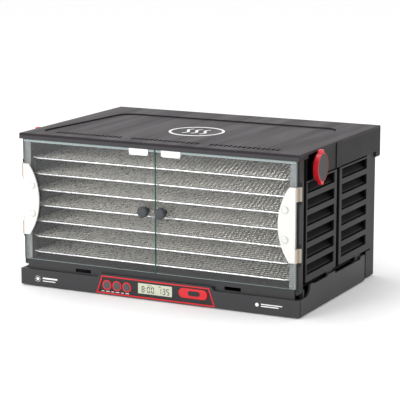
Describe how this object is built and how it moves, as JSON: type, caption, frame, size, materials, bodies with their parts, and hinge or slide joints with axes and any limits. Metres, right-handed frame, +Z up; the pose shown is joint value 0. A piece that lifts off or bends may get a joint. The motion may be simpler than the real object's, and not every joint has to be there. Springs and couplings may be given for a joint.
{
  "type": "food dehydrator",
  "caption": "Countertop food dehydrator: a fold-down charcoal cabinet with glass doors, wire racks, a hinged lid, side latches and rear fans that dry food in warm air.",
  "frame": {"origin": "on the floor, under the middle of the whole object", "axes": "+X to the right seen from the front, +Y from the doors to the back, +Z up"},
  "size_m": [0.5206, 0.3556, 0.256],
  "materials": {
    "body_plastic": "fine-textured charcoal",
    "lid_plastic": "fine-textured charcoal",
    "white_trim": "smooth white print",
    "red_plastic": "satin red",
    "panel_plastic": "satin black",
    "button_plastic": "soft dark grey",
    "screen_glass": "clear window over a pale reflective display",
    "black_plastic": "moulded black",
    "circuit_board": "solder mask",
    "foot_rubber": "matt",
    "steel": "plain",
    "magnet": "coated",
    "sheet_metal": "galvanised sheet",
    "door_glass": "clear, polished edges",
    "white_plastic": "smooth white",
    "knob_plastic": "satin slate",
    "wire_mesh": "bright woven wire"
  },
  "bodies": {
    "root": {"air_baffle": "sheet_metal", "base_feet": "foot_rubber", "base_tray": "body_plastic", "button_rings": "red_plastic", "chamber_floor": "body_plastic", "control_bezel": "red_plastic", "control_board": "circuit_board", "control_panel": "panel_plastic", "cover_screws": "steel", "door_sill": "body_plastic", "fan_frames": "black_plastic", "fan_motors": "black_plastic", "front_fascia": "body_plastic", "front_post_left": "body_plastic", "front_post_right": "body_plastic", "heater_element": "steel", "hinge_pins": "steel", "lid_hinge_pins": "steel", "mains_inlet": "black_plastic", "rack_rails_left": "body_plastic", "rack_rails_right": "body_plastic", "rear_cover": "body_plastic", "rear_housing": "body_plastic", "screen_module": "black_plastic", "screen_window": "screen_glass", "side_wall_left": "body_plastic", "side_wall_right": "body_plastic"},
    "lid": {"lid_top": "lid_plastic", "lid_rim": "lid_plastic", "lid_emblem": "white_trim", "door_magnets": "magnet", "latch_catches": "lid_plastic"},
    "door_left": {"door_glass_left": "door_glass", "hinge_plate_left": "white_plastic", "hinge_screws_left": "white_plastic", "door_knob_left": "knob_plastic", "strike_plate_left": "white_plastic"},
    "door_right": {"door_glass_right": "door_glass", "hinge_plate_right": "white_plastic", "hinge_screws_right": "white_plastic", "door_knob_right": "knob_plastic", "strike_plate_right": "white_plastic"},
    "latch_left": {"latch_knob_left": "red_plastic", "latch_cap_left": "panel_plastic"},
    "latch_right": {"latch_knob_right": "red_plastic", "latch_cap_right": "panel_plastic"},
    "left_button": {"left_button": "button_plastic"},
    "middle_button": {"middle_button": "button_plastic"},
    "right_button": {"right_button": "button_plastic"},
    "power_button": {"power_button": "red_plastic", "power_button_inlay": "panel_plastic"},
    "fan_left": {"fan_impeller_left": "black_plastic"},
    "fan_right": {"fan_impeller_right": "black_plastic"},
    "rack_1": {"rack_1": "wire_mesh"},
    "rack_2": {"rack_2": "wire_mesh"},
    "rack_3": {"rack_3": "wire_mesh"},
    "rack_4": {"rack_4": "wire_mesh"},
    "rack_5": {"rack_5": "wire_mesh"},
    "rack_6": {"rack_6": "wire_mesh"},
    "rack_7": {"rack_7": "wire_mesh"}
  },
  "joints": [
    {"name": "lid_hinge", "type": "hinge", "parent": "root", "child": "lid", "pos_m": [0, 0.17125, 0.2065], "axis": [-1, 0, 0], "range_deg": [0, 100]},
    {"name": "door_left_hinge", "type": "hinge", "parent": "root", "child": "door_left", "pos_m": [-0.247, -0.15325, 0.14645], "axis": [0, 0, -1], "range_deg": [0, 110]},
    {"name": "door_right_hinge", "type": "hinge", "parent": "root", "child": "door_right", "pos_m": [0.247, -0.15325, 0.14645], "axis": [0, 0, 1], "range_deg": [0, 110]},
    {"name": "latch_left_turn", "type": "hinge", "parent": "root", "child": "latch_left", "pos_m": [-0.25, -0.09475, 0.228], "axis": [-1, 0, 0], "range_deg": [0, 90]},
    {"name": "latch_right_turn", "type": "hinge", "parent": "root", "child": "latch_right", "pos_m": [0.25, -0.09475, 0.228], "axis": [-1, 0, 0], "range_deg": [0, 90]},
    {"name": "left_button_press", "type": "slide", "parent": "root", "child": "left_button", "axis": [0, 1, 0], "range_m": [0, 0.001], "stiffness_N_per_m": 400, "springref_m": -0.001},
    {"name": "middle_button_press", "type": "slide", "parent": "root", "child": "middle_button", "axis": [0, 1, 0], "range_m": [0, 0.001], "stiffness_N_per_m": 400, "springref_m": -0.001},
    {"name": "right_button_press", "type": "slide", "parent": "root", "child": "right_button", "axis": [0, 1, 0], "range_m": [0, 0.001], "stiffness_N_per_m": 400, "springref_m": -0.001},
    {"name": "power_button_press", "type": "slide", "parent": "root", "child": "power_button", "axis": [0, 1, 0], "range_m": [0, 0.001], "stiffness_N_per_m": 600, "springref_m": -0.001},
    {"name": "fan_left_spin", "type": "hinge", "parent": "root", "child": "fan_left", "pos_m": [-0.115, 0.13675, 0.123], "axis": [0, 1, 0], "continuous": true},
    {"name": "fan_right_spin", "type": "hinge", "parent": "root", "child": "fan_right", "pos_m": [0.115, 0.13675, 0.123], "axis": [0, 1, 0], "continuous": true},
    {"name": "rack_1_slide", "type": "slide", "parent": "root", "child": "rack_1", "axis": [0, -1, 0], "range_m": [0, 0.003]},
    {"name": "rack_2_slide", "type": "slide", "parent": "root", "child": "rack_2", "axis": [0, -1, 0], "range_m": [0, 0.003]},
    {"name": "rack_3_slide", "type": "slide", "parent": "root", "child": "rack_3", "axis": [0, -1, 0], "range_m": [0, 0.003]},
    {"name": "rack_4_slide", "type": "slide", "parent": "root", "child": "rack_4", "axis": [0, -1, 0], "range_m": [0, 0.003]},
    {"name": "rack_5_slide", "type": "slide", "parent": "root", "child": "rack_5", "axis": [0, -1, 0], "range_m": [0, 0.003]},
    {"name": "rack_6_slide", "type": "slide", "parent": "root", "child": "rack_6", "axis": [0, -1, 0], "range_m": [0, 0.003]},
    {"name": "rack_7_slide", "type": "slide", "parent": "root", "child": "rack_7", "axis": [0, -1, 0], "range_m": [0, 0.003]}
  ]
}
